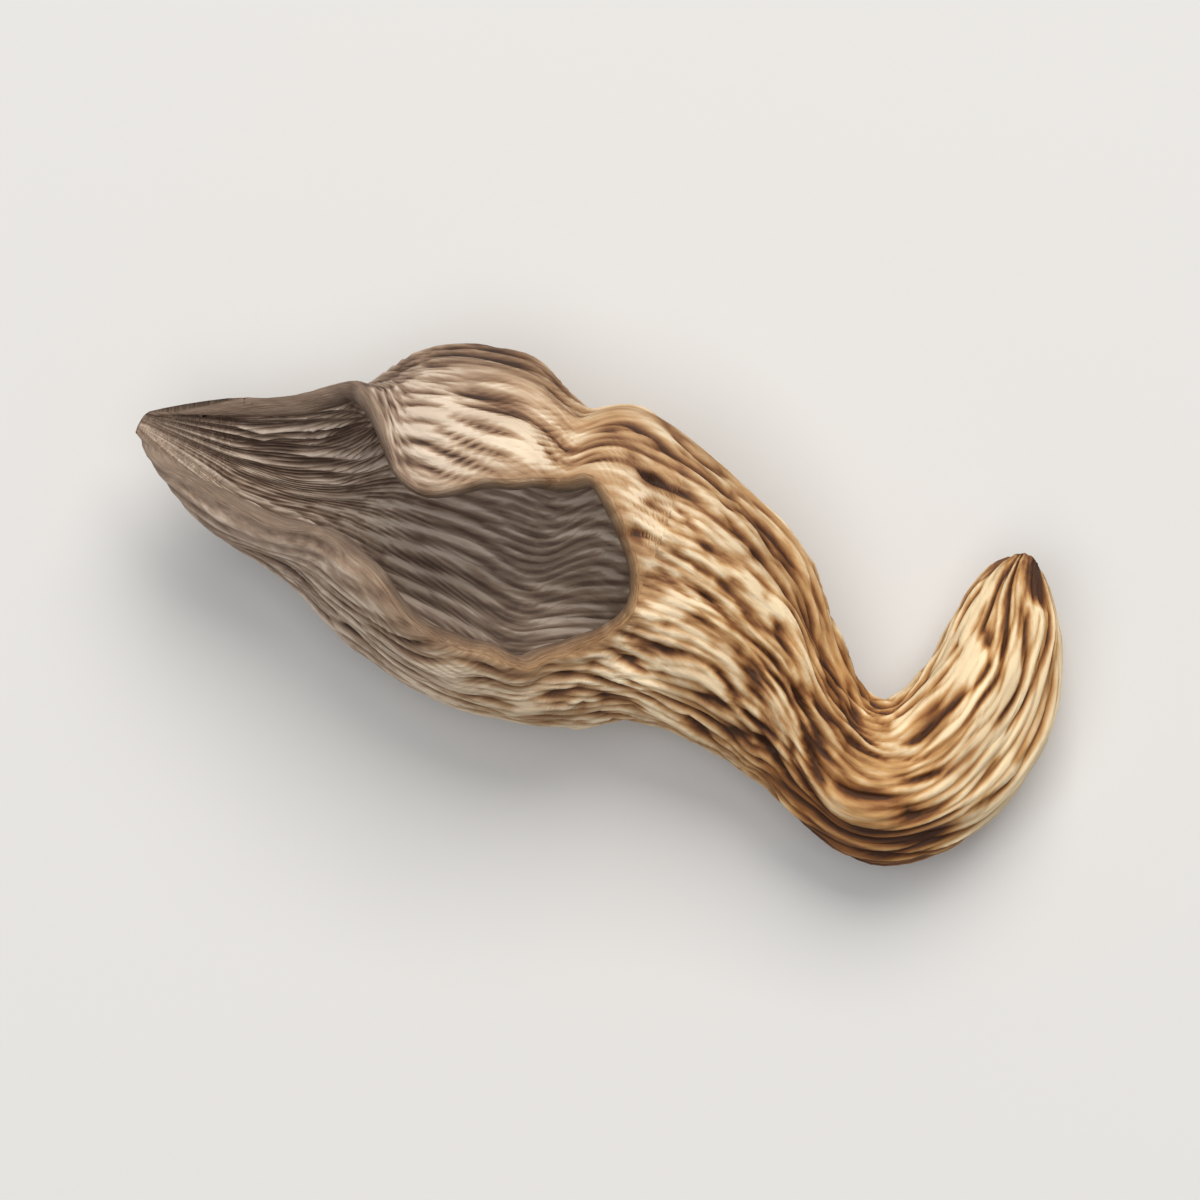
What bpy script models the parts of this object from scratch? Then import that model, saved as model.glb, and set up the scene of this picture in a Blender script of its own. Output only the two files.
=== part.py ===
"""A dried black trumpet mushroom, lying on its side as picked.

One piece: a thin, folded funnel that opens through a long slanting mouth, narrows through its throat
and goes on as a wrinkled stem, which hooks back to the foot. Metres, +Z up, resting on Z = 0.
"""

import bpy
import numpy as np

# Sections from the tip of the mouth's long lip to the foot, in millimetres. Seen from above, each one spans
# from a point on the outside of the hook (ox, oy) to a point on the inside of it (ix, iy). rail: the height
# of those two points. belly: how far the underside hangs below them. orise, irise: how far the wall rises
# above them on each side. ogap, igap: how many degrees of the wall are missing at the mouth on each side.
SECTIONS = np.array(
    [
        # ox, oy, ix, iy, rail, belly, orise, irise, ogap, igap
        (-14.9, 5.2, -14.3, 6.2, 4.7, 0.7, 0.7, 0.7, 92, 130),  # tip of the long lip
        (-14.0, 3.9, -12.9, 6.3, 4.6, 1.4, 1.1, 1.0, 45, 112),
        (-12.3, 2.0, -10.6, 6.5, 4.4, 2.4, 1.9, 1.8, 16, 100),
        (-10.0, 0.6, -7.5, 6.8, 4.2, 3.5, 2.7, 3.0, 14, 84),
        (-7.7, -1.8, -4.9, 8.2, 4.1, 4.1, 3.3, 4.0, 13, 22),  # the widest place, under the lobe
        (-5.3, -3.2, -2.2, 7.8, 4.1, 4.4, 3.5, 4.2, 28, 31),
        (-3.5, -3.6, -0.4, 6.4, 4.0, 4.4, 3.6, 4.1, 30, 48),  # the first resting place
        (-1.8, -3.7, 1.5, 6.4, 3.9, 4.0, 3.7, 4.0, 32, 46),  # where the mouth ends
        (1.0, -3.6, 4.2, 4.2, 3.5, 3.4, 3.6, 3.6, 36, 40),
        (3.5, -4.6, 6.3, 1.9, 3.0, 2.8, 3.1, 3.1, 0, 0),
        (5.2, -5.7, 7.3, -0.9, 2.6, 2.4, 2.6, 2.6, 0, 0),
        (6.7, -7.1, 8.0, -2.3, 2.4, 2.3, 2.3, 2.3, 0, 0),  # the neck
        (8.2, -8.1, 8.6, -2.9, 2.3, 2.4, 2.2, 2.2, 0, 0),  # the knee, the second resting place
        (10.1, -8.1, 9.5, -2.9, 2.3, 2.4, 2.2, 2.2, 0, 0),
        (12.3, -7.0, 10.3, -2.0, 2.4, 2.4, 2.2, 2.2, 0, 0),
        (14.1, -4.8, 11.0, -0.8, 2.5, 2.4, 2.2, 2.2, 0, 0),
        (14.8, -2.0, 11.7, 0.5, 2.5, 2.3, 2.1, 2.1, 0, 0),
        (14.6, 0.0, 12.4, 1.4, 2.6, 1.9, 1.8, 1.8, 0, 0),
        (14.2, 1.2, 13.2, 1.7, 2.7, 1.1, 1.1, 1.1, 0, 0),
        (13.8, 1.6, 13.7, 1.7, 2.7, 0.1, 0.1, 0.1, 0, 0),  # foot
    ]
)
FOOT = len(SECTIONS) - 1.0
THROAT = 7.6  # the section where the two margins of the mouth meet
SEAM = 18.0  # how many degrees from the top, to the outside of the hook, the margins meet
MOUTH_END = 1.7  # over how many sections the margins round in to the throat
PIT_FLOOR = 10.3  # the section where the hollow ends

WALL_OUT = 0.36  # from the middle of the wall to its outer face, in the furrows
WALL_IN = 0.34  # from the middle of the wall to its inner face, in the furrows
SOLID_TIP = 1.7  # how many sections of the lip's tip are solid
ROLL = 0.5  # how far the rim rolls outward
EDGE = 0.2  # how far the rim's rounded edge stands out

FOLDS = 18
COLUMNS_PER_FOLD = 4
COLUMNS = FOLDS * COLUMNS_PER_FOLD
ROW_STEP = 0.79  # spacing of the rows along the middle line

MIDDLE = (0.02, 0.17)  # the middle of the sections' box seen from above, which becomes the origin
MM = 0.001


def section(column, at):
    """A value of the sections at fractional section numbers: a Catmull-Rom curve through them."""
    values = SECTIONS[:, column]
    at = np.asarray(at, float)
    i = np.clip(at.astype(int), 0, len(values) - 2)
    f = at - i
    a, b, c, d = (values[np.clip(i + k, 0, len(values) - 1)] for k in (-1, 0, 1, 2))
    return b + 0.5 * f * (c - a + f * (2 * a - 5 * b + 4 * c - d + f * (3 * (b - c) + d - a)))


def eased(at, *steps):
    """A value that eases from step to step, each step a pair of section number and value."""
    places, values = np.array(steps, float).T
    i = np.clip(np.searchsorted(places, at) - 1, 0, len(places) - 2)
    f = np.clip((at - places[i]) / (places[i + 1] - places[i]), 0.0, 1.0)
    return values[i] + (values[i + 1] - values[i]) * f * f * (3 - 2 * f)


def middle_line(at):
    """The middle of the sections."""
    x = 0.5 * (section(0, at) + section(2, at))
    y = 0.5 * (section(1, at) + section(3, at))
    return np.stack([x, y, section(4, at)], axis=-1)


def row_places():
    """Section numbers evenly spaced along the middle line, with one row exactly at the throat."""
    fine = np.linspace(0.0, FOOT, 4001)
    step = np.linalg.norm(np.diff(middle_line(fine), axis=0), axis=1)
    run = np.concatenate([[0.0], np.cumsum(step)])
    to_throat = np.interp(THROAT, fine, run)
    before = np.linspace(0.0, to_throat, round(to_throat / ROW_STEP) + 1)
    after = np.linspace(to_throat, run[-1], round((run[-1] - to_throat) / ROW_STEP) + 1)
    places = np.interp(np.concatenate([before, after[1:]]), run, fine)
    places[len(before) - 1] = THROAT
    return places, len(before) - 1


def margins(at):
    """How many degrees short of the top the wall ends on the outside and on the inside of the hook."""
    near_end = np.clip((THROAT - at) / MOUTH_END, 0.0, 1.0)
    close = np.sqrt(near_end * (2 - near_end))
    outside = SEAM + close * (section(8, at) + 2.5 * np.sin(3.1 * at))
    inside = -SEAM + close * (section(9, at) + 2.0 * np.sin(2.7 * at + 2.0))
    return outside, inside


def bare_wall(at, across):
    """The middle of the wall. across runs from 0 at the outside margin, under the belly, to 1 at the inside one."""
    outside, inside = margins(at)
    drift = 0.03 * np.sin(np.pi * across) ** 2 * np.sin(4 * np.pi * across + 0.9 * at)
    reach = eased(at, (2.5, 2), (4, 4))  # the higher, the closer to a margin its course is followed
    turn = -180 + 360 * (across + drift)
    turn = turn + outside * np.clip(1 - across, 0, 2) ** reach - inside * np.clip(across, 0, 2) ** reach
    turn = np.radians(turn)
    lumps = 1 + 0.04 * np.sin(3 * turn + 0.9 * at) + 0.025 * np.sin(5 * turn - 1.3 * at)
    half_x = 0.5 * (section(2, at) - section(0, at))
    half_y = 0.5 * (section(3, at) - section(1, at))
    half = np.hypot(half_x, half_y)
    shrink = np.maximum(half - WALL_OUT - 0.2, 0.2) / half * lumps * np.sin(turn)
    orise, irise = section(6, at), section(7, at)
    rise = 0.5 * (orise + irise) + 0.5 * (irise - orise) * np.sin(turn)
    height = np.where(np.cos(turn) > 0, section(5, at), rise)
    height = np.maximum(height - WALL_OUT - 0.1, 0.2) * lumps
    point = middle_line(at)
    point[..., 0] += half_x * shrink
    point[..., 1] += half_y * shrink
    point[..., 2] -= height * np.cos(turn)
    return point


def normals(surface, at, across):
    """Unit normals of a surface of (at, across), pointing out of the mushroom."""
    step = 0.01
    by_at = surface(at + step, across) - surface(at - step, across)
    by_across = surface(at, across + step) - surface(at, across - step)
    normal = np.cross(by_across, by_at)
    return normal / np.maximum(np.linalg.norm(normal, axis=-1, keepdims=True), 1e-9)


def wall(at, across):
    """The middle of the wall with its rim rolled, outward along the lip and inward at the lobe, and waved."""
    girth = 5.8 * section(5, at) - 3.0
    by_outside = np.exp(-((across * girth / 1.1) ** 2))
    by_inside = np.exp(-(((1 - across) * girth / 1.4) ** 2))
    fade = np.clip((THROAT - at) / 1.2, 0.0, 1.0) * np.clip(at / 3.0, 0.0, 1.0)
    inside_roll = eased(at, (0, ROLL), (2.9, ROLL), (3.8, -0.4 * ROLL), (4.9, -ROLL), (5.6, 0))
    wave = 0.16 * np.sin(3.4 * at)
    roll = (ROLL + wave) * by_outside + (inside_roll - wave) * by_inside
    return bare_wall(at, across) + normals(bare_wall, at, across) * (roll * fade)[..., None]


def crests(at, across):
    """Lengthwise folds from 0 in the furrows to 1 on the crests. Here and there two of them run together."""
    narrow = 0.5 + 0.5 * np.cos(2 * np.pi * FOLDS * across)
    broad = 0.5 + 0.5 * np.cos(np.pi * FOLDS * across)
    joined = np.clip(3.0 * np.sin(0.9 * at + 4.0 * np.sin(4 * np.pi * across)) - 2.0, 0.0, 0.8)
    swell = 0.75 + 0.25 * np.sin(8 * np.pi * across + 1.9 * at)
    return (narrow + (broad - narrow) * joined) * swell


def off_the_rim(at, across):
    """0.3 at the margins and 1 from 1.5 mm inside them on."""
    rim = np.clip(1 - 16 * np.minimum(across, 1 - across), 0.0, 0.7)
    return 1 - rim * np.clip((THROAT - at) / 1.2, 0.0, 1.0)


def outer_folds(at, across):
    """Height of the folds on the outside."""
    depth = eased(at, (0, 0), (2.5, 0.35), (6, 0.45), (10, 0.5), (16, 0.45), (FOOT, 0))
    return depth * crests(at, across) * off_the_rim(at, across)


def inner_folds(at, across):
    """Height of the folds in the hollow, which stand on the furrows of the outside."""
    depth = eased(at, (0, 0), (2.5, 0.3), (5, 0.45), (THROAT, 0.3), (PIT_FLOOR, 0.1))
    return depth * crests(at + 2.0, across + 0.5 / FOLDS) * off_the_rim(at, across)


def edge_of(outer, inner, away):
    """Points between the outer and the inner edge of the rim, pushed away from the wall."""
    return 0.5 * (outer + inner) + EDGE * away / np.linalg.norm(away, axis=-1, keepdims=True)


def faces_of_wall(rows, throat_row):
    """The outer and inner faces of the wall as grids of points, rows by columns, and the rounded rim."""
    across = np.linspace(0.0, 1.0, COLUMNS + 1)
    at, t = np.meshgrid(rows, across, indexing="ij")
    outer = wall(at, t) + normals(wall, at, t) * (WALL_OUT + outer_folds(at, t))[..., None]
    outer[..., 2] = np.maximum(outer[..., 2], 0.0)
    hollow = rows < PIT_FLOOR
    at, t = at[hollow], t[hollow]
    at = at + SOLID_TIP * np.clip(1 - at / 4, 0.0, 1.0) ** 2
    inner = wall(at, t) - normals(wall, at, t) * (WALL_IN + inner_folds(at, t))[..., None]
    heart = middle_line(at)
    narrow = eased(at, (0, 1), (THROAT + 0.4, 1), (PIT_FLOOR, 0.12))[..., None]
    inner = heart + (inner - heart) * narrow
    tip = edge_of(outer[0], inner[0], wall(0.0 * across, across) - wall(0.0 * across + 0.2, across))
    rim = slice(1, throat_row)
    s = rows[rim]
    first = edge_of(outer[rim, 0], inner[rim, 0], wall(s, 0.0 * s) - wall(s, 0.0 * s + 0.03))
    last = edge_of(outer[rim, -1], inner[rim, -1], wall(s, 0.0 * s + 1.0) - wall(s, 0.0 * s + 0.97))
    return outer, inner, np.concatenate([first[::-1], tip, last])


def numbered(grid_rows, throat_row, first):
    """Vertex numbers of a grid. Beyond the throat its last column is its first one."""
    numbers = np.full((grid_rows, COLUMNS + 1), -1)
    for row in range(grid_rows):
        width = COLUMNS + 1 if row < throat_row else COLUMNS
        numbers[row, :width] = first + np.arange(width)
        if width == COLUMNS:
            numbers[row, COLUMNS] = numbers[row, 0]
        first += width
    return numbers, first


def strip(low, high):
    """Triangles between two lines of vertex numbers, facing one way all along."""
    triangles = []
    for a, b, c, d in zip(low, low[1:], high[1:], high):
        triangles += [(a, c, b), (a, d, c)]
    return triangles


def make_mushroom():
    rows, throat_row = row_places()
    rows[-1] = FOOT - 0.7
    outer, inner, edge = faces_of_wall(rows, throat_row)
    outer_numbers, count = numbered(len(outer), throat_row, 0)
    inner_numbers, count = numbered(len(inner), throat_row, count)
    foot, pit, count = count, count + 1, count + 2
    points = np.zeros((count + len(edge), 3))
    points[outer_numbers] = outer
    points[inner_numbers] = inner
    points[foot] = middle_line(np.array(FOOT))
    points[pit] = middle_line(np.array(PIT_FLOOR))
    points[count:] = edge

    triangles = []
    for low, high in zip(outer_numbers, outer_numbers[1:]):
        triangles += strip(high, low)
    for low, high in zip(inner_numbers, inner_numbers[1:]):
        triangles += strip(low, high)
    up = slice(throat_row, 0, -1)
    down = slice(1, throat_row + 1)
    rims = [np.concatenate([n[up, 0], n[0], n[down, COLUMNS]]) for n in (outer_numbers, inner_numbers)]
    edge_numbers = np.arange(count, count + len(edge))
    for rim, flip in zip(rims, (False, True)):
        between = strip(rim[1:-1], edge_numbers)
        between += [(rim[1], rim[0], edge_numbers[0]), (rim[-1], rim[-2], edge_numbers[-1])]
        triangles += [t[::-1] for t in between] if flip else between
    ends = (rims[0][0], rims[1][0], edge_numbers[0]), (rims[1][-1], rims[0][-1], edge_numbers[-1])
    triangles += ends
    triangles += [(a, b, foot) for a, b in zip(outer_numbers[-1], outer_numbers[-1][1:])]
    triangles += [(b, a, pit) for a, b in zip(inner_numbers[-1], inner_numbers[-1][1:])]

    mesh = bpy.data.meshes.new("mushroom")
    points[:, :2] -= MIDDLE
    mesh.from_pydata((points * MM).tolist(), [], [tuple(map(int, t)) for t in triangles])
    mesh.shade_smooth()
    return mesh


def dried_flesh():
    """Brown, dry and leathery."""
    material = bpy.data.materials.new("dried_flesh")
    material.use_nodes = True
    shader = material.node_tree.nodes["Principled BSDF"]
    shader.inputs["Base Color"].default_value = (0.27, 0.15, 0.08, 1.0)
    shader.inputs["Roughness"].default_value = 0.7
    return material


for old in list(bpy.data.objects):
    bpy.data.objects.remove(old)
mushroom = bpy.data.objects.new("mushroom", make_mushroom())
mushroom.data.materials.append(dried_flesh())
bpy.context.scene.collection.objects.link(mushroom)
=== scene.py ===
# %% [markdown]
# # A dried black trumpet mushroom
# A black trumpet is one thin sheet of flesh, grown as a funnel and dried till it is as stiff as leather.
# This one lies on its side. Its long lip points left, the mouth slants back over the hollow to the throat,
# and the stem hooks round to the foot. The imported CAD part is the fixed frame: it gives the place, the size
# and the form, and this script makes the surface that one sees from close by.

import bpy
import numpy as np
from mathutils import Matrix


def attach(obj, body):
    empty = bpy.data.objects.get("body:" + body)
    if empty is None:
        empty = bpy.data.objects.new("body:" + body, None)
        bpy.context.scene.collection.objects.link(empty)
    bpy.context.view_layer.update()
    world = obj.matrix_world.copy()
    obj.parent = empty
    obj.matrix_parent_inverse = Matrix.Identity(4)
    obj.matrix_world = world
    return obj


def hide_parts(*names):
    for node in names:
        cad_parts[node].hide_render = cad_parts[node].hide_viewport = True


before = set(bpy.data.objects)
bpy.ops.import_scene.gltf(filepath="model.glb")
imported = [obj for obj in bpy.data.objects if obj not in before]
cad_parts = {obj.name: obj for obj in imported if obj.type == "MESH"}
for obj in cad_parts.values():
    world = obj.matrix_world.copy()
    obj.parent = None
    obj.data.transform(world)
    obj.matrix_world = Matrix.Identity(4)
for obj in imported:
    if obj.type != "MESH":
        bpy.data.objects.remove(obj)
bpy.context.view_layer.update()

# %% [markdown]
# ## The skeleton
# A lofted form needs few numbers: a row of sections from the tip to the foot, each one a ring that is drawn
# between two rails. The CAD part is worked out from this same table, so the fine surface lies on the solid
# that it stands for. One could also shrink-wrap a grid onto the solid, but that would copy its flat facets.

# %% Sections in millimetres, seen from above
# The columns: the rail on the outside of the hook, x and y, and the one on its inside; the height of both
# rails; the drop to the belly; the rise to the top on the outside and on the inside; and how many degrees
# short of the top the sheet ends on the outside and on the inside.
OUT_X, OUT_Y, IN_X, IN_Y, RAIL, BELLY, OUT_RISE, IN_RISE, OUT_GAP, IN_GAP = range(10)
SECTIONS = np.array(
    [
        (-14.9, 5.2, -14.3, 6.2, 4.7, 0.7, 0.7, 0.7, 92, 130),  # tip of the long lip
        (-14.0, 3.9, -12.9, 6.3, 4.6, 1.4, 1.1, 1.0, 45, 112),
        (-12.3, 2.0, -10.6, 6.5, 4.4, 2.4, 1.9, 1.8, 16, 100),
        (-10.0, 0.6, -7.5, 6.8, 4.2, 3.5, 2.7, 3.0, 14, 84),
        (-7.7, -1.8, -4.9, 8.2, 4.1, 4.1, 3.3, 4.0, 13, 22),  # the widest place, under the lobe
        (-5.3, -3.2, -2.2, 7.8, 4.1, 4.4, 3.5, 4.2, 28, 31),
        (-3.5, -3.6, -0.4, 6.4, 4.0, 4.4, 3.6, 4.1, 30, 48),  # the first resting place
        (-1.8, -3.7, 1.5, 6.4, 3.9, 4.0, 3.7, 4.0, 32, 46),  # where the mouth ends
        (1.0, -3.6, 4.2, 4.2, 3.5, 3.4, 3.6, 3.6, 36, 40),
        (3.5, -4.6, 6.3, 1.9, 3.0, 2.8, 3.1, 3.1, 0, 0),
        (5.2, -5.7, 7.3, -0.9, 2.6, 2.4, 2.6, 2.6, 0, 0),
        (6.7, -7.1, 8.0, -2.3, 2.4, 2.3, 2.3, 2.3, 0, 0),  # the neck
        (8.2, -8.1, 8.6, -2.9, 2.3, 2.4, 2.2, 2.2, 0, 0),  # the knee, the second resting place
        (10.1, -8.1, 9.5, -2.9, 2.3, 2.4, 2.2, 2.2, 0, 0),
        (12.3, -7.0, 10.3, -2.0, 2.4, 2.4, 2.2, 2.2, 0, 0),
        (14.1, -4.8, 11.0, -0.8, 2.5, 2.4, 2.2, 2.2, 0, 0),
        (14.8, -2.0, 11.7, 0.5, 2.5, 2.3, 2.1, 2.1, 0, 0),
        (14.6, 0.0, 12.4, 1.4, 2.6, 1.9, 1.8, 1.8, 0, 0),
        (14.2, 1.2, 13.2, 1.7, 2.7, 1.1, 1.1, 1.1, 0, 0),
        (13.8, 1.6, 13.7, 1.7, 2.7, 0.1, 0.1, 0.1, 0, 0),  # foot
    ]
)
FOOT = len(SECTIONS) - 1.0
THROAT = 7.6  # the section where the two margins of the mouth meet
MIDDLE = (0.02, 0.17)  # the middle of the sections' box seen from above, which is the origin
MM = 0.001
print("sections:", len(SECTIONS))

# %% Curves along the mushroom


def section(column, at):
    """A column of the table at fractional section numbers: a Catmull-Rom curve, which goes through each value
    with half the difference of its two neighbours as its slope."""
    values = SECTIONS[:, column]
    at = np.asarray(at, float)
    i = np.clip(at.astype(int), 0, len(values) - 2)
    f = at - i
    a, b, c, d = (values[np.clip(i + k, 0, len(values) - 1)] for k in (-1, 0, 1, 2))
    return b + 0.5 * f * (c - a + f * (2 * a - 5 * b + 4 * c - d + f * (3 * (b - c) + d - a)))


def eased(at, *steps):
    """A value that eases from step to step, each step a place, mostly a section number, and a value:
    a + (b - a) f^2 (3 - 2 f), with f the share of the way from one step to the next."""
    places, values = np.array(steps, float).T
    i = np.clip(np.searchsorted(places, at) - 1, 0, len(places) - 2)
    f = np.clip((at - places[i]) / (places[i + 1] - places[i]), 0.0, 1.0)
    return values[i] + (values[i + 1] - values[i]) * f * f * (3 - 2 * f)


def middle_line(at):
    """The middle of the sections: half way between the two rails."""
    x = 0.5 * (section(OUT_X, at) + section(IN_X, at))
    y = 0.5 * (section(OUT_Y, at) + section(IN_Y, at))
    return np.stack([x, y, section(RAIL, at)], axis=-1)


def to_rail(at):
    """The way from the middle line to the rail on the inside, as x and y: half the way between the rails."""
    x = 0.5 * (section(IN_X, at) - section(OUT_X, at))
    y = 0.5 * (section(IN_Y, at) - section(OUT_Y, at))
    return x, y


fine_places = np.linspace(0.0, FOOT, 20001)
fine_runs = np.linalg.norm(np.diff(middle_line(fine_places), axis=0), axis=1)
fine_runs = np.concatenate([[0.0], np.cumsum(fine_runs)])
print("length along the middle line:", round(fine_runs[-1], 1), "mm")

# %% [markdown]
# ## The sheet of flesh
# The mushroom is a sheet with two margins, which meet at the throat. So its surface has two parameters: the
# section number, and how far one has gone round, from 0 at the near margin, under the belly, to 1 at the
# far margin. Past the throat the two margins are one line, and the sheet is a tube.

# %% Margins of the mouth
SEAM = 18.0  # how many degrees from the top, to the outside of the hook, the margins meet
MOUTH_END = 1.7  # over how many sections the margins round in to the throat


def closing(at):
    """1 along the mouth and 0 from the throat on, with a quarter circle between: sqrt(q (2 - q)), where q
    falls from 1 to 0 over the mouth's end."""
    q = np.clip((THROAT - at) / MOUTH_END, 0.0, 1.0)
    return np.sqrt(q * (2 - q))


def margins(at):
    """How many degrees short of the top the sheet ends, on the outside and on the inside of the hook: the
    table's gaps with slow waves and a light fray, drawn in to the seam as the mouth closes."""
    close = closing(at)
    fray = 0.5 * np.sin(7.3 * at) + 0.2 * np.sin(11.9 * at + 1.0)
    outside = SEAM + close * (section(OUT_GAP, at) + 2.5 * np.sin(3.1 * at) + fray)
    inside = -SEAM + close * (section(IN_GAP, at) + 2.0 * np.sin(2.7 * at + 2.0) - fray)
    return outside, inside


def turn_of(at, across):
    """How far round its ellipse a point is, in radians: 0 at the belly, a quarter turn to either side at the
    rails. It goes evenly, with a slow drift, from half a turn before the belly to half a turn after it, plus
    outside * (1 - across)^reach - inside * across^reach, which holds it back from the top at each margin."""
    outside, inside = margins(at)
    drift = 0.03 * np.sin(np.pi * across) ** 2 * np.sin(4 * np.pi * across + 0.9 * at)
    reach = eased(at, (2.5, 2), (4, 4))
    turn = -180 + 360 * (across + drift)
    turn = turn + outside * np.clip(1 - across, 0, 2) ** reach - inside * np.clip(across, 0, 2) ** reach
    return np.radians(turn)


print("degrees short of the top at the lobe:", [round(float(gap), 1) for gap in margins(4.0)])

# %% The bare form
INSET_ASIDE = 0.56  # how far the middle of the sheet lies inside the solid's rails, in millimetres
INSET_UPRIGHT = 0.46  # how far it lies inside the solid's belly and top
LEAST_HALF = 0.2  # no half width or height of the sheet is less


def form(at, turn):
    """Half an ellipse below the rails and half of another above them, with low lumps:
    middle + rail * sin(turn) - height * cos(turn)."""
    lumps = 1 + 0.04 * np.sin(3 * turn + 0.9 * at) + 0.025 * np.sin(5 * turn - 1.3 * at)
    half_x, half_y = to_rail(at)
    half = np.hypot(half_x, half_y)
    shrink = np.maximum(half - INSET_ASIDE, LEAST_HALF) / half * lumps * np.sin(turn)
    out_rise, in_rise = section(OUT_RISE, at), section(IN_RISE, at)
    rise = 0.5 * (out_rise + in_rise) + 0.5 * (in_rise - out_rise) * np.sin(turn)
    height = np.where(np.cos(turn) > 0, section(BELLY, at), rise)
    height = np.maximum(height - INSET_UPRIGHT, LEAST_HALF) * lumps
    point = middle_line(at)
    point[..., 0] += half_x * shrink
    point[..., 1] += half_y * shrink
    point[..., 2] -= height * np.cos(turn)
    return point


def unit(vectors):
    """Vectors of length 1: each one divided by its length."""
    return vectors / np.maximum(np.linalg.norm(vectors, axis=-1, keepdims=True), 1e-9)


def normals(surface, at, other, step=0.002):
    """Unit normals of a surface of two parameters, outward: the cross product of its two slopes."""
    by_at = surface(at + step, other) - surface(at - step, other)
    by_other = surface(at, other + step) - surface(at, other - step)
    return unit(np.cross(by_other, by_at))


form_top = form(np.array(4.0), np.array(np.pi))
print("top of the bare form at the lobe:", round(float(form_top[2]), 1), "mm")

# %% The sheet and its rolled rim
ROLL = 0.5  # how far the rim rolls outward, in millimetres
NEAR_REACH, FAR_REACH = 1.1, 1.4  # how far in from the near and the far margin the roll goes


def bell(values, middle, reach):
    """1 at the middle, falling off on both sides: exp(-((value - middle) / reach)^2)."""
    return np.exp(-(((values - middle) / reach) ** 2))


def rim_distance(at, share):
    """About how many millimetres a point is from a margin, by its share of the way round from there:
    share * (5.8 * belly - 3), which is close to the sheet's length from margin to margin."""
    return share * (5.8 * section(BELLY, at) - 3.0)


def sheet(at, across):
    """The form between its two margins, with its rim rolled: moved along its normal by
    roll * exp(-(distance to the margin / reach)^2), outward along the lip and inward at the lobe."""
    near = bell(rim_distance(at, across), 0.0, NEAR_REACH)
    far = bell(rim_distance(at, 1 - across), 0.0, FAR_REACH)
    fade = np.clip((THROAT - at) / 1.2, 0.0, 1.0) * np.clip(at / 3.0, 0.0, 1.0)
    far_roll = eased(at, (0, ROLL), (2.9, ROLL), (3.8, -0.4 * ROLL), (4.9, -ROLL), (5.6, 0))
    wave = 0.16 * np.sin(3.4 * at)
    roll = (ROLL + wave) * near + (far_roll - wave) * far
    turn = turn_of(at, across)
    return form(at, turn) + normals(form, at, turn) * (roll * fade)[..., None]


def sheet_normals(at, across):
    """Normals of the sheet. At the throat, where the margins close in too fast for a slope along them, they
    are those of the bare form, which knows no margin."""
    by_form = eased(at, (0, 0), (THROAT - 0.5, 0), (THROAT - 0.1, 1), (FOOT, 1))[..., None]
    bare = normals(form, at, turn_of(at, across))
    return unit(bare * by_form + normals(sheet, at, across) * (1 - by_form))


print("sheet from margin to margin at the lobe:", round(float(rim_distance(4.0, 1.0)), 1), "mm")

# %% [markdown]
# ## A grid on the sheet
# Rows run round the mushroom and columns along it. The folds run lengthwise, so there are more columns than
# rows. Rows are evenly spaced by a measure that grows with the length of the middle line and also with how
# fast the margins close in, so they crowd together at the throat, where the columns bend sharply.

# %% Rows and columns
COLUMNS = 352
ROW_STEP = 0.28  # spacing of the rows along the middle line, in millimetres
EXTRA_ROWS = 16  # rows added where the margins round in to the throat

measure = fine_runs / ROW_STEP - EXTRA_ROWS * closing(fine_places)
measure -= measure[0]
to_throat = np.interp(THROAT, fine_places, measure)
before = np.linspace(0.0, to_throat, round(to_throat) + 1)
after = np.linspace(to_throat, measure[-1], round(measure[-1] - to_throat) + 1)
rows = np.interp(np.concatenate([before, after[1:-1]]), measure, fine_places)
throat_row = len(before) - 1
rows[throat_row] = THROAT
across = np.linspace(0.0, 1.0, COLUMNS + 1)
at_grid, across_grid = np.meshgrid(rows, across, indexing="ij")
middle_sheet = sheet(at_grid, across_grid)
print("rows:", len(rows), "of which up to the throat:", throat_row)

# %% [markdown]
# ## Folds as bundles of waves
# A drying sheet shrinks more across its fibres than along them, so it gathers in lengthwise folds, which
# part where the funnel widens and run together where it narrows. Plain stripes would never do that. A
# bundle of waves does: each wave has a whole number of crests round the mushroom, close to the wanted
# number, and drifts a little as it goes along. Their sum is a wave whose crests wander, and wherever the
# bundle cancels out, two folds become one.

# %% Where a pattern is


def pattern_place(at, across):
    """Three numbers for a pattern: millimetres along the mushroom, the share of a full turn round it, and
    the girth there in millimetres, 2 pi sqrt((a^2 + b^2) / 2) of an ellipse with half widths a and b."""
    run = np.interp(at, fine_places, fine_runs)
    turn = turn_of(at, across) / (2 * np.pi) + 0.5
    half = np.hypot(*to_rail(at))
    tall = 0.5 * section(BELLY, at) + 0.25 * (section(OUT_RISE, at) + section(IN_RISE, at))
    girth = 2 * np.pi * np.sqrt(0.5 * (half**2 + tall**2))
    return run, turn, np.maximum(girth, 2.0)


place_out = pattern_place(at_grid, across_grid)
print("girth at the lobe:", round(place_out[2][throat_row // 2, 0], 1), "mm")

# %% Bundles of waves


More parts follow.
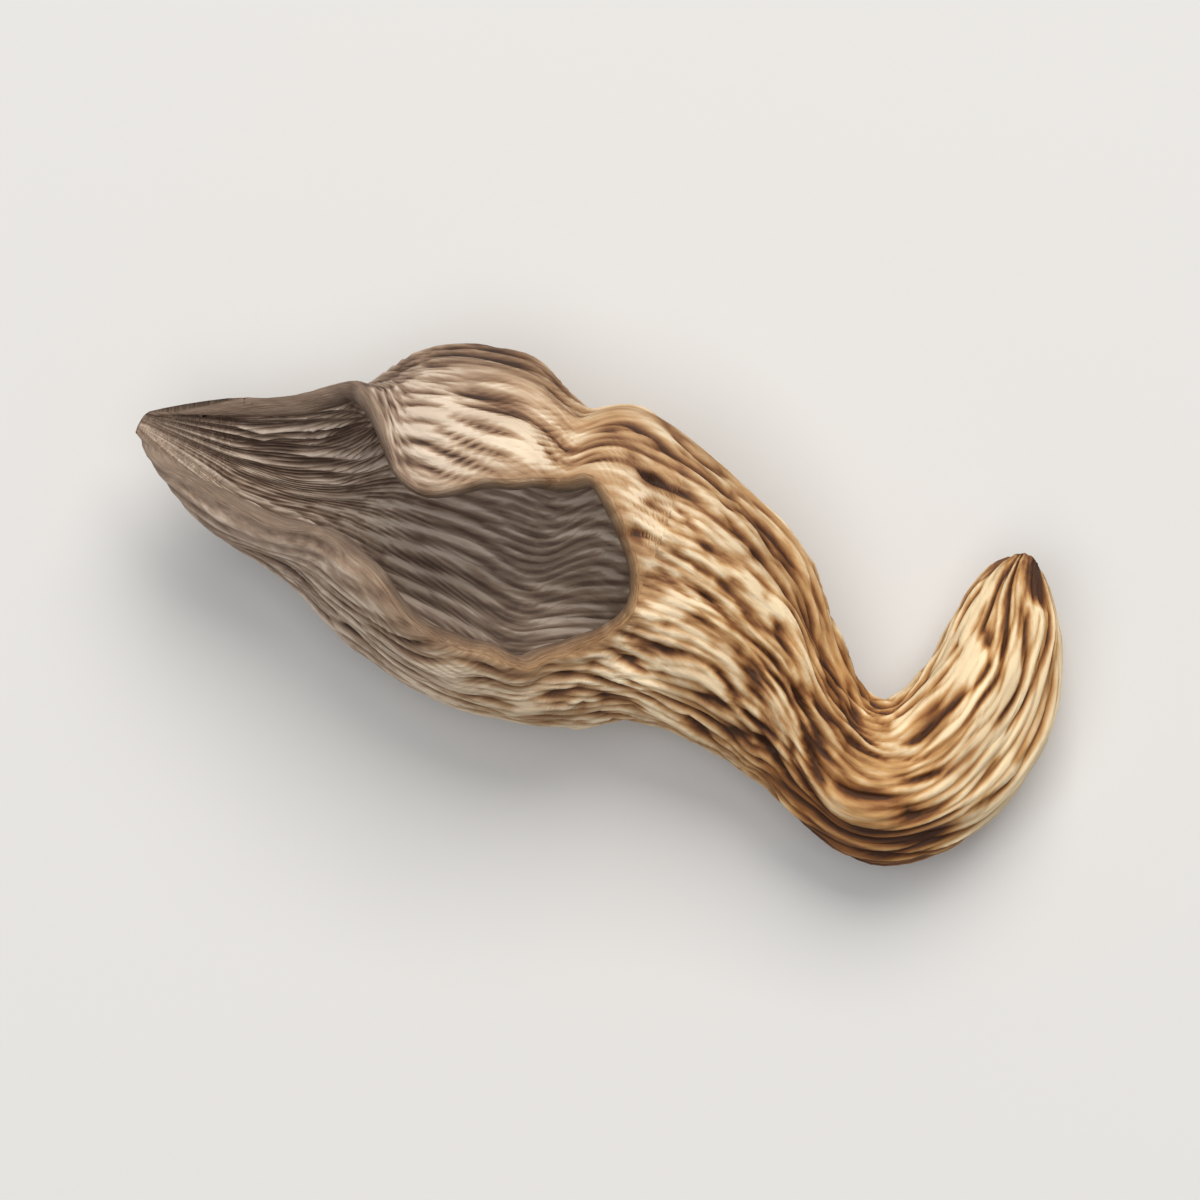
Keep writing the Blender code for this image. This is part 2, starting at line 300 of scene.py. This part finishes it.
def bundle(place, spacing, seed, spread=2.0, wander=0.1):
    """Sum over whole numbers k of exp(-((k - crests) / spread)^2) exp(i (2 pi k turn + drift_k run +
    start_k)), with crests = girth / spacing. Returns its angle, which goes once round from furrow to furrow,
    and its strength from 0 to 1."""
    run, turn, girth = place
    crests = girth / spacing
    draw = np.random.default_rng(seed)
    total = np.zeros(turn.shape, complex)
    power = np.zeros(turn.shape)
    for k in range(1, int(crests.max() + 3 * spread)):
        start, drift = draw.uniform(0, 2 * np.pi), draw.normal(0, 2 * np.pi * wander)
        weight = np.exp(-(((k - crests) / spread) ** 2))
        total += weight * np.exp(1j * (2 * np.pi * k * turn + drift * run + start))
        power += weight**2
    return np.angle(total), np.tanh(1.6 * np.abs(total) / np.sqrt(power + 1e-9))


def ridges(waves, sharp=1.0):
    """Height from 0 to 1 with broad round crests and narrow furrows, less where the bundle is weak:
    1 - strength * (1 - |cos(angle / 2)|^sharp)."""
    angle, strength = waves
    return 1 - strength * (1 - np.abs(np.cos(0.5 * angle)) ** sharp)


# %% Soft patches, and patterns that wind
CLOUD_GIRTH = 22.0  # the girth in millimetres at which patches have their stated size


def cloud(place, size, seed, stretch=1.0, waves=28):
    """Soft patches, stretched along the mushroom, from about -2 to 2: a sum of cosines in all directions,
    0.6 to 1.9 times the size long in millimetres, each with a whole number of crests round the mushroom."""
    run, turn, _ = place
    draw = np.random.default_rng(seed)
    total = np.zeros(turn.shape)
    for _ in range(waves):
        heading, start = draw.uniform(0, 2 * np.pi, 2)
        length = size * draw.uniform(0.6, 1.9)
        along = np.sin(heading) / (length * stretch)
        around = np.round(np.cos(heading) * CLOUD_GIRTH / length)
        total += np.cos(2 * np.pi * (along * run + around * turn) + start)
    return total / np.sqrt(0.5 * waves)


def winding(place, reach, size, seed, lean=0.0):
    """The place with its turn pushed to and fro by about a reach, in soft patches of a size, both in
    millimetres, and turned on by a lean in turns a millimetre: turn + reach * cloud / girth + lean * run."""
    run, turn, girth = place
    return run, turn + reach * cloud(place, size, seed, stretch=1.5, waves=16) / girth + lean * run, girth


# %% [markdown]
# ## The outside
# Layers of relief lie on each other: broad folds, the ridges that one sees first, 0.6 to 0.86 mm apart, and
# fine creases on them. All wind a little, as nothing grown is straight. On the roof of the throat and on the
# knee, two bundles that lean to either side cross the ridges and tie them into a net, with short dark slots
# in its furrows. One long smooth fold between two grooves runs along the inside of the hook. The strip along
# the lip's near margin is smooth too, but for fine lines that follow the rim.

# %% Folds, ridges and their net
WALL_OUT = 0.15  # from the middle of the sheet to its outer face in the furrows, in millimetres

spacing = eased(at_grid, (0, 0.6), (4, 0.7), (9, 0.78), (13, 0.86))  # of the ridges, in millimetres
knotty = eased(at_grid, (5, 0.25), (7.5, 1), (10, 1), (12, 0.45), (FOOT, 0.3))  # how far they are a net
wound = winding(place_out, 0.2, 2.6, seed=41)
broad = ridges(bundle(wound, 3.1 * spacing, seed=12, spread=1.2, wander=0.05), sharp=2.0)
main = ridges(bundle(wound, spacing, seed=3, spread=2.6, wander=0.14), sharp=0.8)


def leaning(lean, seed):
    """Ridges a quarter further apart than the main ones, which lean by so many turns a millimetre."""
    place = winding(place_out, 0.2, 1.8, seed=seed, lean=lean)
    return ridges(bundle(place, 1.25 * spacing, seed=seed + 9), sharp=0.9)


net = np.maximum(leaning(0.016, seed=42), leaning(-0.016, seed=43))
depths = np.clip(0.95 + 0.24 * cloud(place_out, 1.1, seed=44, stretch=6.0), 0.5, 1.12)
main = 1 - depths * (1 - main)  # furrows that are deeper in some places than in others
main = main + 0.45 * knotty * (net - 0.12 - main)
print("ridges round the lobe:", round(place_out[2][throat_row // 2, 0] / spacing[throat_row // 2, 0]))

# %% Creases, knots and slots
creased = winding(place_out, 0.06, 1.6, seed=45)
creases = ridges(bundle(creased, 0.4 * spacing, seed=8, spread=4.0, wander=0.14))
knots = np.clip(cloud(place_out, 1.3, seed=6, stretch=2.2), -1.5, 1.5)
slots = np.clip(cloud(place_out, 0.9, seed=5, stretch=2.2) - 0.1, 0.0, 1.0)
slots = slots * np.clip(1.5 - 1.6 * main, 0.0, 1.0)  # only where the ridges are low
print("share of the outside with slots:", round(float((slots > 0.2).mean()), 2))

# %% The long fold and the smooth strip
LONG_FOLD = 117  # degrees of turn from the belly, past the rail on the inside of the hook
GROOVE_ABOVE, GROOVE_BELOW = 16, 19  # degrees from the fold to the grooves on its two sides
STRIP_WIDTH = 2.4  # from the near margin to where the smooth strip has faded out, in millimetres
STRIP_LINE = 0.42  # spacing of the lines on it

degrees = 360 * place_out[1] - 180
sway = 3 * np.sin(1.3 * at_grid)
long_fold = bell(degrees, LONG_FOLD + sway, 7.5)
long_fold = long_fold * eased(at_grid, (3.6, 0), (4.6, 1), (10.5, 1), (12.0, 0))
groove = bell(degrees, LONG_FOLD + GROOVE_ABOVE + sway, 4.5)
groove = groove + 0.7 * bell(degrees, LONG_FOLD - GROOVE_BELOW + sway, 4.5)
groove = groove * eased(at_grid, (3.8, 0), (4.6, 1), (9.5, 1), (10.8, 0))

from_rim = rim_distance(at_grid, across_grid)
near_strip = eased(at_grid, (0.4, 1), (3, 0.85), (4.6, 0.3), (6.2, 0))
near_strip = near_strip * np.clip(STRIP_WIDTH - from_rim, 0.0, 1.0)
line_sway = 1.2 * cloud(place_out, 3.0, seed=46, stretch=3.0)
strip_lines = 0.5 + 0.5 * np.cos(2 * np.pi * from_rim / STRIP_LINE + line_sway)
smooth_part = np.maximum(long_fold, near_strip)
print("share of the outside that is smooth:", round(float(smooth_part.mean()), 2))

# %% Height of the outside
relief = 0.3 * broad + 0.52 * main + 0.18 * creases + 0.1 * knots - 0.4 * slots * knotty
smooth_relief = 0.6 + 0.3 * strip_lines * near_strip + 0.35 * long_fold
outer_relief = relief + (smooth_relief - relief) * smooth_part - 0.3 * groove
depth_steps = (0, 0.1), (2.5, 0.38), (5, 0.44), (10, 0.62), (12, 0.5), (15, 0.43), (FOOT, 0.1)
outer_depth = eased(at_grid, *depth_steps)  # what a relief of 1 stands for, in millimetres
far_rim = bell(rim_distance(at_grid, 1 - across_grid), 0.0, 1.6) * np.clip(THROAT - at_grid, 0.0, 1.0)
outer_height = outer_depth * outer_relief * (1 - 0.45 * far_rim)
print("outer relief from", round(outer_height.min(), 2), "to", round(outer_height.max(), 2), "mm")

# %% [markdown]
# ## The hollow
# The inside is the same sheet seen from the other side. Its ridges are finer and stand out as pale lines on
# a dark ground, with hair-fine ones between them, and they even out at the rim. The hollow narrows past the
# throat and ends in a closed pit. The lip's tip is dried together over its first sections, so the grid of
# the inside starts a little further in.

# %% Relief of the inside
WALL_IN = 0.24  # from the middle of the sheet to its inner face in the furrows, in millimetres
SOLID_TIP = 1.7  # how many sections of the lip's tip are solid
PIT_FLOOR = 10.3  # the section where the hollow ends

hollow = rows < PIT_FLOOR
across_in = across_grid[hollow]
at_in = at_grid[hollow] + SOLID_TIP * np.clip(1 - at_grid[hollow] / 4, 0.0, 1.0) ** 2
place_in = pattern_place(at_in, across_in)
wound_in = winding(place_in, 0.08, 2.8, seed=47)
fading = np.clip(0.75 + 0.35 * cloud(place_in, 1.4, seed=48, stretch=3.0), 0.2, 1.1)
lines = 1.15 * fading * (1 - ridges(bundle(wound_in, 0.62, seed=21, spread=3.0, wander=0.1), sharp=0.7))
beside_rim = (place_in[0], across_in, place_in[2])  # a place that goes round by margins, not by turn
hairs = 1 - ridges(bundle(beside_rim, 0.27, seed=34, spread=5.0, wander=0.1))
swells = ridges(bundle(place_in, 2.4, seed=17, spread=1.5, wander=0.05), sharp=2.0)

inner_depth = eased(at_in, (0, 0.1), (2.5, 0.4), (5, 0.52), (THROAT, 0.4), (PIT_FLOOR, 0.2))
inner_relief = 0.3 * swells + 0.5 * lines + 0.2 * hairs
from_rim_in = rim_distance(at_in, np.minimum(across_in, 1 - across_in))
at_rim = bell(from_rim_in, 0.0, 0.6) * np.clip(THROAT + 0.5 - at_in, 0.0, 1.0)
inner_height = inner_depth * (inner_relief + (0.3 - inner_relief) * at_rim)
print("inner relief from", round(inner_height.min(), 2), "to", round(inner_height.max(), 2), "mm")

# %% [markdown]
# ## The two faces
# The outer and the inner face are the middle of the sheet, moved out and in along its normals by the wall
# and the relief. Where the mushroom rests, its flesh has dried flat on the ground.

# %% Faces of the sheet
outward = sheet_normals(at_grid, across_grid)
outer = middle_sheet + outward * (WALL_OUT + outer_height)[..., None]
outer[..., 2] = np.maximum(outer[..., 2], 0.0)

inner = sheet(at_in, across_in) - sheet_normals(at_in, across_in) * (WALL_IN + inner_height)[..., None]
heart = middle_line(at_in)
narrow = eased(at_in, (0, 1), (THROAT + 0.4, 1), (PIT_FLOOR, 0.12))[..., None]
inner = heart + (inner - heart) * narrow
print("highest point of the outer face:", round(outer[..., 2].max(), 2), "mm")
print("highest point of the inner face:", round(inner[..., 2].max(), 2), "mm")

# %% [markdown]
# ## The rim
# The two faces are joined by a rounded edge all round the mouth: up the near margin, across the tip and
# back down the far margin to the throat. It is half an ellipse at each station, between the edge of the
# outer face and that of the inner one.

# %% Rounded edge
EDGE = 0.2  # how far the rounded edge stands out, in millimetres
EDGE_STEPS = 5  # points of the edge between the two faces


def rim_line(values):
    """The values of a grid all round the mouth: the near margin from the throat to the tip, the tip, and the
    far margin back."""
    up = values[throat_row:0:-1, 0]
    back = values[1:throat_row, -1]
    return np.concatenate([up, values[0], back])


middle_rim = rim_line(middle_sheet)
along_rim = np.roll(middle_rim, -1, axis=0) - np.roll(middle_rim, 1, axis=0)
away_line = unit(np.cross(along_rim, rim_line(outward)))  # across the rim, away from the flesh
outer_line, inner_line = rim_line(outer), rim_line(inner)
swing = np.linspace(0.0, np.pi, EDGE_STEPS + 2)[1:-1, None, None]
rim_middle, rim_half = 0.5 * (outer_line + inner_line), 0.5 * (outer_line - inner_line)
edge = rim_middle + rim_half * np.cos(swing) + EDGE * away_line * np.sin(swing)
print("stations round the mouth:", len(outer_line), "highest:", round(edge[..., 2].max(), 2), "mm")

# %% [markdown]
# ## One closed mesh
# Each grid point gets a number. Past the throat the last column is the first one again, so the sheet closes
# to a tube there. The faces of a grid are then four shifted views of its table of numbers, with no loop
# over points. A single point closes the foot, and another the floor of the hollow.

# %% Number the points


def numbered(grid_rows, first):
    """Point numbers of a grid whose last column is its first one from the throat's row on, and the number
    that comes next."""
    width = np.where(np.arange(grid_rows) < throat_row, COLUMNS + 1, COLUMNS)
    starts = first + np.concatenate([[0], np.cumsum(width)[:-1]])
    numbers = starts[:, None] + np.arange(COLUMNS + 1)
    numbers[throat_row:, COLUMNS] = numbers[throat_row:, 0]
    return numbers, first + int(width.sum())


outer_numbers, count = numbered(len(outer), 0)
inner_numbers, count = numbered(len(inner), count)
edge_numbers = count + np.arange(edge.shape[0] * edge.shape[1]).reshape(edge.shape[:2])
count += edge_numbers.size
foot, pit = count, count + 1

points = np.zeros((count + 2, 3))
points[outer_numbers] = outer
points[inner_numbers] = inner
points[edge_numbers] = edge
points[foot] = middle_line(np.array(FOOT))
points[pit] = middle_line(np.array(PIT_FLOOR))
points[:, :2] -= MIDDLE
print("points:", len(points))

# %% Faces between the points


def quads(numbers):
    """Four-sided faces of a grid of point numbers, as rows of four."""
    a, b, c, d = numbers[:-1, :-1], numbers[:-1, 1:], numbers[1:, 1:], numbers[1:, :-1]
    return np.stack([a, b, c, d], axis=-1).reshape(-1, 4)


stations = np.vstack([rim_line(outer_numbers), edge_numbers, rim_line(inner_numbers)])
stations = np.hstack([stations, stations[:, :1]])
four_sided = np.vstack([quads(outer_numbers)[:, ::-1], quads(inner_numbers), quads(stations)])
last, end = outer_numbers[-1], inner_numbers[-1]
foot_fan = np.stack([last[:-1], last[1:], np.full(COLUMNS, foot)], axis=-1)
pit_fan = np.stack([end[1:], end[:-1], np.full(COLUMNS, pit)], axis=-1)
print("triangles:", 2 * len(four_sided) + 2 * COLUMNS)

# %% Mesh
mesh = bpy.data.meshes.new("mushroom_flesh")
mesh.from_pydata((points * MM).tolist(), [], four_sided.tolist() + foot_fan.tolist() + pit_fan.tolist())
mesh.shade_smooth()
flesh = bpy.data.objects.new("mushroom_flesh", mesh)
bpy.context.scene.collection.objects.link(flesh)
print("faces of", flesh.name + ":", len(mesh.polygons))

# %% [markdown]
# ## What the finish needs to know
# The colour follows the form: pale on the crests, dark in the furrows, grey-brown in the funnel, golden on
# the stem. These are numbers at each point, called attributes, which the material reads. The fibre
# coordinates bend the mushroom straight: a pattern on them runs along the flesh and has no seam.

# %% Numbers at the points


def at_points(outer_values, inner_values, foot_value, pit_value):
    """One value for each point of the mesh, from the values on the two grids. Over the edge, one passes into
    the other: outer * (1 - share) + inner * share, with share = (1 - cos(swing)) / 2."""
    values = np.zeros((len(points),) + np.shape(foot_value))
    values[outer_numbers] = outer_values
    values[inner_numbers] = inner_values
    o, i = rim_line(outer_values), rim_line(inner_values)
    share = (1 - np.cos(swing[:, :, 0])) / 2
    share = share.reshape(share.shape + (1,) * (o.ndim - 1))
    values[edge_numbers] = o * (1 - share) + i * share
    values[foot] = foot_value
    values[pit] = pit_value
    return values


def keep(name, values):
    """Stores numbers or vectors at the points of the mesh under a name."""
    kind, field = ("FLOAT", "value") if values.ndim == 1 else ("FLOAT_VECTOR", "vector")
    stored = mesh.attributes.new(name, kind, "POINT")
    stored.data.foreach_set(field, values.astype(np.float32).ravel())
    print(name, "from", round(float(values.min()), 2), "to", round(float(values.max()), 2))


# %% Tone, from dark furrows to pale crests
outer_tone = 0.22 * broad + 1.0 * main + 0.32 * creases - 0.42 + 0.04 * knots - 0.55 * slots * knotty
contrast = eased(at_grid, (2, 0.8), (4, 1.05), (9, 1.1), (11, 1.25), (FOOT, 1.15))
outer_tone = 0.5 + (outer_tone - 0.5) * contrast

# Darker at the knee, most on its outside, as painted shade on the underside of the bend; darker at the foot,
# and paler on the arm between them.
tone_steps = (2, -0.07), (5, 0), (8, -0.04), (12, -0.41), (15, 0.12), (16.3, -0.08), (18, -0.5)
outer_tone += eased(at_grid, *tone_steps)
shade_on_hook_outside = np.clip(-np.sin(np.radians(degrees)), 0.0, 1.0)
# Painted shade on the outside of the hook's bend at the knee.
outer_tone -= 0.25 * shade_on_hook_outside * bell(at_grid, 12.3, 1.8)

# The lobe is pale on top, a painted light, and dark below the long fold, a painted shade.
outer_tone += bell(at_grid, 4.6, 1.2) * (0.1 * bell(degrees, 152, 28) - 0.3 * bell(degrees, 98, 22))

# The pale lines on the near strip follow its fine ridges; their paleness is partly painted highlight.
smooth_tone = 0.66 - 0.12 * near_strip + 0.42 * strip_lines * near_strip
outer_tone = outer_tone + (smooth_tone - outer_tone) * 0.8 * smooth_part - 0.35 * groove
# Painted shade: the far wall of the hollow near the tip is made darker.
far_wall_shade = eased(across_in, (0.5, 0), (0.8, 1), (1.5, 1)) * eased(at_in, (2, 1), (5, 0))
inner_tone = 0.1 * swells + 1.0 * lines + 0.45 * hairs + 0.36 - 0.28 * far_wall_shade


def worn(tone, at, across):
    """A tone that evens out at the rim, paler at the tip than at the throat: pulled there by
    0.7 exp(-(distance to the margin / 0.35 mm)^2)."""
    distance = rim_distance(at, np.minimum(across, 1 - across))
    wear = 0.7 * bell(distance, 0.0, 0.35) * (at < THROAT + 0.01)
    return tone + (eased(at, (0, 0.62), (3, 0.58), (6, 0.5), (FOOT, 0.5)) - tone) * wear


outer_tone = worn(outer_tone, at_grid, across_grid)
inner_tone = worn(inner_tone, at_in, across_in)
keep("tone", np.clip(at_points(outer_tone, inner_tone, 0.3, 0.1), 0.0, 1.0))

# %% Warmth, from the grey-brown funnel to the golden stem
# The funnel's grey, where the warmth is low, is partly its own colour and partly a painted reflection.
outer_warm = eased(at_grid, (3, 0.1), (7, 0.65), (9, 0.9), (11, 1.0), (17, 1.0), (FOOT, 0.5))
inner_warm = eased(at_in, (0, 0.1), (5, 0.05), (PIT_FLOOR, 0.2))
keep("warm", at_points(outer_warm, inner_warm, 0.5, 0.2))

# %% Fibre coordinates
INNER_SHIFT = 80.0  # moves the inside's fibres on, so that it doesn't repeat the grain of the outside


def fibre(place, at, across):
    """The mushroom bent straight: (radius cos, radius sin, run) with radius = girth / 2 pi, in millimetres.
    Along the mouth the angle goes by the margins, so that fibres run along the rim, and past it by turn."""
    run, turn, girth = place
    by_margins = eased(at, (0, 1), (4, 1), (6.5, 0), (FOOT, 0))
    angle = 2 * np.pi * (turn + (across - turn) * by_margins)
    radius = girth / (2 * np.pi)
    return np.stack([radius * np.cos(angle), radius * np.sin(angle), run], axis=-1)


fibre_out = fibre(place_out, at_grid, across_grid)
fibre_in = fibre(place_in, at_in, across_in) + np.array([0.0, 0.0, INNER_SHIFT])
keep("fibre", at_points(fibre_out, fibre_in, fibre_out[-1, 0], fibre_in[-1, 0]))

# %% [markdown]
# ## Dry flesh
# Dry trumpet flesh is matt and leathery. Its crests are pale and its furrows dark, and the tone also holds
# painted light and shade. Two ramps turn the tone into colour, one for the grey-brown funnel, whose grey is
# partly a painted reflection, and one for the golden stem, and the warmth mixes them. Fine noise along the
# fibres breaks both up.

# %% Small tools for shader nodes


def node(tree, kind, **settings):
    """Adds a node and sets its properties."""
    made = tree.nodes.new(kind)
    for name, value in settings.items():
        setattr(made, name, value)
    return made


def ramp(tree, factor, *stops):
    """A colour ramp through (position, linear colour) stops, driven by a factor socket."""
    made = node(tree, "ShaderNodeValToRGB")
    elements = made.color_ramp.elements
    while len(elements) < len(stops):
        elements.new(0.5)
    for element, (position, colour) in zip(elements, stops):
        element.position = position
        element.color = (*colour, 1.0)
    tree.links.new(factor, made.inputs["Fac"])
    return made.outputs["Color"]


def attribute(tree, name, output="Fac"):
    """The socket that reads an attribute of the mesh."""
    return node(tree, "ShaderNodeAttribute", attribute_name=name).outputs[output]


def stretched_noise(tree, size, along, detail=4.0):
    """Noise on the fibre coordinates with features of a size in millimetres, some times longer along them."""
    mapping = node(tree, "ShaderNodeMapping")
    mapping.inputs["Scale"].default_value = (1 / size, 1 / size, 1 / (size * along))
    tree.links.new(attribute(tree, "fibre", "Vector"), mapping.inputs["Vector"])
    noise = node(tree, "ShaderNodeTexNoise")
    noise.inputs["Scale"].default_value = 1.0
    noise.inputs["Detail"].default_value = detail
    tree.links.new(mapping.outputs["Vector"], noise.inputs["Vector"])
    return noise.outputs["Fac"]


def mixed(tree, factor, a, b, blend="MIX"):
    """A colour mix of two sockets by a factor socket or number. Of a Mix node's inputs, the first is the
    factor and the seventh and eighth are its colours; its third output is a colour."""
    made = node(tree, "ShaderNodeMix", data_type="RGBA", blend_type=blend)
    if isinstance(factor, float):
        made.inputs[0].default_value = factor
    else:
        tree.links.new(factor, made.inputs[0])
    tree.links.new(a, made.inputs[6])
    tree.links.new(b, made.inputs[7])
    return made.outputs[2]


def sums(tree, operation, a, b, clamp=False):
    """A sum, product or the like of two sockets or numbers."""
    made = node(tree, "ShaderNodeMath", operation=operation, use_clamp=clamp)
    for value, socket in zip((a, b), made.inputs):
        if isinstance(value, float):
            socket.default_value = value
        else:
            tree.links.new(value, socket)
    return made.outputs["Value"]


# %% Material of the flesh
GRAIN_SIZE = 0.22  # width of the fine grain, in millimetres
GRAIN_STRENGTH = 0.7  # how far the grain moves the tone
MOTTLE_SIZE = 1.3  # width of the soft dark patches, in millimetres
# The grey-brown funnel colours are partly a painted reflection.
FUNNEL_COLOURS = (
    (0.15, (0.045, 0.027, 0.018)),
    (0.45, (0.17, 0.118, 0.088)),
    (0.75, (0.42, 0.32, 0.25)),
    (0.97, (0.74, 0.62, 0.52)),
)
STEM_COLOURS = (
    (0.1, (0.07, 0.022, 0.004)),
    (0.36, (0.27, 0.1, 0.022)),
    (0.64, (0.61, 0.34, 0.125)),
    (0.95, (0.98, 0.79, 0.5)),
)


def dry_flesh():
    """Pale crests and dark furrows, grey-brown to golden, with fine grain along the fibres."""
    material = bpy.data.materials.new("dry_flesh")
    material.use_nodes = True
    tree = material.node_tree
    shader = tree.nodes["Principled BSDF"]
    grain = stretched_noise(tree, GRAIN_SIZE, 5.0)
    mottle = stretched_noise(tree, MOTTLE_SIZE, 4.0, 3.0)
    broken = sums(tree, "ADD", attribute(tree, "tone"), sums(tree, "MULTIPLY", grain, GRAIN_STRENGTH))
    shade = sums(tree, "SUBTRACT", broken, 0.5 * GRAIN_STRENGTH, clamp=True)
    funnel, stem = ramp(tree, shade, *FUNNEL_COLOURS), ramp(tree, shade, *STEM_COLOURS)
    colour = mixed(tree, attribute(tree, "warm"), funnel, stem)
    dark = ramp(tree, mottle, (0.3, (0.62, 0.58, 0.55)), (0.7, (1.0, 1.0, 1.0)))
    colour = mixed(tree, 1.0, colour, dark, "MULTIPLY")
    tree.links.new(colour, shader.inputs["Base Color"])
    rough = node(tree, "ShaderNodeMapRange")
    rough.inputs["To Min"].default_value = 0.55
    rough.inputs["To Max"].default_value = 0.85
    tree.links.new(grain, rough.inputs["Value"])
    tree.links.new(rough.outputs["Result"], shader.inputs["Roughness"])
    shader.inputs["Specular IOR Level"].default_value = 0.35
    bump = node(tree, "ShaderNodeBump")
    bump.inputs["Strength"].default_value = 0.8
    bump.inputs["Distance"].default_value = 0.1 * MM
    tree.links.new(grain, bump.inputs["Height"])
    tree.links.new(bump.outputs["Normal"], shader.inputs["Normal"])
    return material


mesh.materials.append(dry_flesh())
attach(flesh, "root")
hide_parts("mushroom")
print("shader nodes of the flesh:", len(mesh.materials[0].node_tree.nodes))

# %% [markdown]
# ## Floor, light and camera
# A plain pale floor, one large soft lamp from beyond the mushroom, low enough to rake the folds, and a wider
# one from above that fills the shadows. The camera looks down on the mushroom through a long lens, as one
# looks at it in the picture.

# %% Floor
FLOOR_REACH = 1.5  # metres from the middle to the edge
FLOOR_DIP = 0.02  # metres that the edge lies lower than the middle


def floor_sheet(steps=41):
    """A wide flat sheet that dips a little towards its edge: z = -dip * (r / reach)^4."""
    line = np.linspace(-FLOOR_REACH, FLOOR_REACH, steps)
    x, y = np.meshgrid(line, line, indexing="ij")
    z = -FLOOR_DIP * (np.hypot(x, y) / FLOOR_REACH) ** 4
    corners = np.stack([x, y, z], axis=-1).reshape(-1, 3)
    numbers = np.arange(steps * steps).reshape(steps, steps)
    made = bpy.data.meshes.new("floor")
    made.from_pydata(corners.tolist(), [], quads(numbers)[:, ::-1].tolist())
    made.shade_smooth()
    return made


def pale_floor():
    """Matt off-white."""
    material = bpy.data.materials.new("pale_floor")
    material.use_nodes = True
    shader = material.node_tree.nodes["Principled BSDF"]
    shader.inputs["Base Color"].default_value = (0.66, 0.65, 0.63, 1.0)
    shader.inputs["Roughness"].default_value = 0.9
    return material


floor = bpy.data.objects.new("floor", floor_sheet())
floor.data.materials.append(pale_floor())
bpy.context.scene.collection.objects.link(floor)
print("floor:", 2 * FLOOR_REACH, "m wide")

# %% Lights and world
from mathutils import Vector


def lamp(name, place, size, power, colour):
    """A square area light at a place in metres that points at the mushroom. Its size is in metres and its
    power in watts."""
    data = bpy.data.lights.new(name, "AREA")
    data.size = size
    data.energy = power
    data.color = colour
    made = bpy.data.objects.new(name, data)
    made.location = place
    made.rotation_euler = (-Vector(place)).to_track_quat("-Z", "Y").to_euler()
    bpy.context.scene.collection.objects.link(made)
    print(name, "lamp:", round(Vector(place).length, 2), "m away")


lamp("key", (0.08, 0.3, 0.42), 0.36, 2.4, (1.0, 0.97, 0.93))
lamp("fill", (-0.1, -0.1, 0.6), 0.5, 1.9, (0.97, 0.98, 1.0))
world = bpy.data.worlds.new("studio")
world.use_nodes = True
world.node_tree.nodes["Background"].inputs["Color"].default_value = (0.95, 0.96, 1.0, 1.0)
world.node_tree.nodes["Background"].inputs["Strength"].default_value = 0.22
bpy.context.scene.world = world
bpy.context.scene.view_settings.view_transform = "Standard"

# %% Camera
CAMERA_RISE = 84.0  # degrees above the floor
CAMERA_FAR = 0.30  # metres from the middle of the mushroom
VIEW_WIDTH = 0.0385  # metres of the picture's width at the mushroom

aim = Vector((0.0, 0.0, 0.003))
rise = np.radians(CAMERA_RISE)
camera_data = bpy.data.cameras.new("camera")
camera_data.lens = camera_data.sensor_width * CAMERA_FAR / VIEW_WIDTH
camera_data.clip_start = 0.01
camera = bpy.data.objects.new("camera", camera_data)
camera.location = aim + CAMERA_FAR * Vector((0.0, -np.cos(rise), np.sin(rise)))
camera.rotation_euler = (aim - camera.location).to_track_quat("-Z", "Y").to_euler()
bpy.context.scene.collection.objects.link(camera)
bpy.context.scene.camera = camera
print("lens:", round(camera_data.lens, 1), "mm")

# %% [markdown]
# ## Sizes, and the end
# The finished mushroom stays inside the box of the solid.

# %% Finish
bpy.context.view_layer.update()
